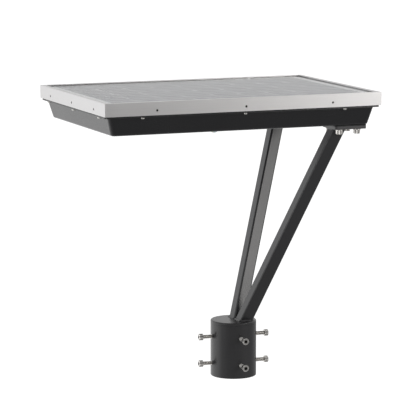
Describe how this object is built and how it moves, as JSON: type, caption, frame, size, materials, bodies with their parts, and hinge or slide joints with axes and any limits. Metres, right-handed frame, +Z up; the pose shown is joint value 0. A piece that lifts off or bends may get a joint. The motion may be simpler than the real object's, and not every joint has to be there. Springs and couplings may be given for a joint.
{
  "type": "solar street lamp",
  "caption": "Post-top solar street lamp: framed solar panel on a flared tray, two slanted square arms and a clamped sleeve for a round pole.",
  "frame": {"origin": "pole axis, in the mouth of the sleeve", "axes": "+Z up along the pole, X along the panel's long side with the arms leaning to +X, -Y front"},
  "size_m": [0.56, 0.374, 0.569],
  "materials": {
    "anodised_frame": "satin anodised",
    "plain_aluminium": "mill finish",
    "silicone_black": "matt",
    "module_glass": "low-iron, lightly textured",
    "white_film": "matt",
    "solar_cell": "anti-reflective blue-black",
    "tinned_ribbon": "satin",
    "black_plastic": "fine texture",
    "black_coat": "satin powder coat",
    "stainless": "turned and rolled",
    "zinc_steel": "zinc plated",
    "circuit_board": "solder mask",
    "led_phosphor": "phosphor gel",
    "clear_lens": "clear moulded",
    "milky_dome": "translucent white",
    "button_plastic": "moulded",
    "cell_can": "shrink sleeve",
    "lead_sheath": "soft"
  },
  "bodies": {
    "lamp": {"frame_rail_front": "anodised_frame", "frame_rail_rear": "anodised_frame", "frame_rail_left": "anodised_frame", "frame_rail_right": "anodised_frame", "frame_corner_keys": "plain_aluminium", "frame_sealant": "silicone_black", "panel_glass": "module_glass", "encapsulant": "white_film", "cell_array": "solar_cell", "cell_ribbons": "tinned_ribbon", "backsheet": "white_film", "junction_box": "black_plastic", "junction_box_lid": "black_plastic", "tray_housing": "black_coat", "tray_gasket": "silicone_black", "flange_screws": "stainless", "stiffener_plate": "zinc_steel", "foot_plate_front": "black_coat", "foot_plate_rear": "black_coat", "foot_gaskets": "silicone_black", "foot_bolts": "stainless", "foot_washers": "stainless", "foot_nuts": "stainless", "arm_front": "black_coat", "arm_rear": "black_coat", "weld_beads": "black_coat", "sleeve": "black_coat", "sleeve_cap": "black_coat", "heat_spreader": "plain_aluminium", "led_board": "circuit_board", "led_chips": "led_phosphor", "lens_plate": "clear_lens", "lens_gasket": "silicone_black", "led_bezel": "black_coat", "bezel_screws": "stainless", "sensor_base": "black_plastic", "sensor_dome": "milky_dome", "sensor_board": "circuit_board", "switch_bushing": "black_plastic", "switch_spring": "stainless", "switch_contact": "black_plastic", "switch_nut": "black_plastic", "breather_vent": "black_plastic", "indicator_lens": "clear_lens", "battery_case": "black_plastic", "battery_cells": "cell_can", "battery_straps": "zinc_steel", "controller_board": "circuit_board", "board_standoffs": "stainless", "inner_screws": "stainless", "lead_wires": "lead_sheath"},
    "button": {"switch_button": "button_plastic"},
    "clamp_screw_1": {"clamp_screw_1": "stainless"},
    "clamp_screw_2": {"clamp_screw_2": "stainless"},
    "clamp_screw_3": {"clamp_screw_3": "stainless"},
    "clamp_screw_4": {"clamp_screw_4": "stainless"},
    "clamp_screw_5": {"clamp_screw_5": "stainless"},
    "clamp_screw_6": {"clamp_screw_6": "stainless"},
    "clamp_screw_7": {"clamp_screw_7": "stainless"},
    "clamp_screw_8": {"clamp_screw_8": "stainless"}
  },
  "joints": [
    {"name": "clamp_travel_1", "type": "slide", "parent": "lamp", "child": "clamp_screw_1", "axis": [0.0523, 0.9986, 0], "range_m": [-0.004, 0.0185]},
    {"name": "clamp_travel_2", "type": "slide", "parent": "lamp", "child": "clamp_screw_2", "axis": [-0.9986, 0.0523, 0], "range_m": [-0.004, 0.0185]},
    {"name": "clamp_travel_3", "type": "slide", "parent": "lamp", "child": "clamp_screw_3", "axis": [-0.0523, -0.9986, 0], "range_m": [-0.004, 0.0185]},
    {"name": "clamp_travel_4", "type": "slide", "parent": "lamp", "child": "clamp_screw_4", "axis": [0.9986, -0.0523, 0], "range_m": [-0.004, 0.0185]},
    {"name": "clamp_travel_5", "type": "slide", "parent": "lamp", "child": "clamp_screw_5", "axis": [0.0523, 0.9986, 0], "range_m": [-0.004, 0.0185]},
    {"name": "clamp_travel_6", "type": "slide", "parent": "lamp", "child": "clamp_screw_6", "axis": [-0.9986, 0.0523, 0], "range_m": [-0.004, 0.0185]},
    {"name": "clamp_travel_7", "type": "slide", "parent": "lamp", "child": "clamp_screw_7", "axis": [-0.0523, -0.9986, 0], "range_m": [-0.004, 0.0185]},
    {"name": "clamp_travel_8", "type": "slide", "parent": "lamp", "child": "clamp_screw_8", "axis": [0.9986, -0.0523, 0], "range_m": [-0.004, 0.0185]},
    {"name": "button_press", "type": "slide", "parent": "lamp", "child": "button", "axis": [0, 0, 1], "range_m": [0, 0.0022], "stiffness_N_per_m": 900, "springref_m": -0.0006, "deforming": ["switch_spring"]}
  ]
}
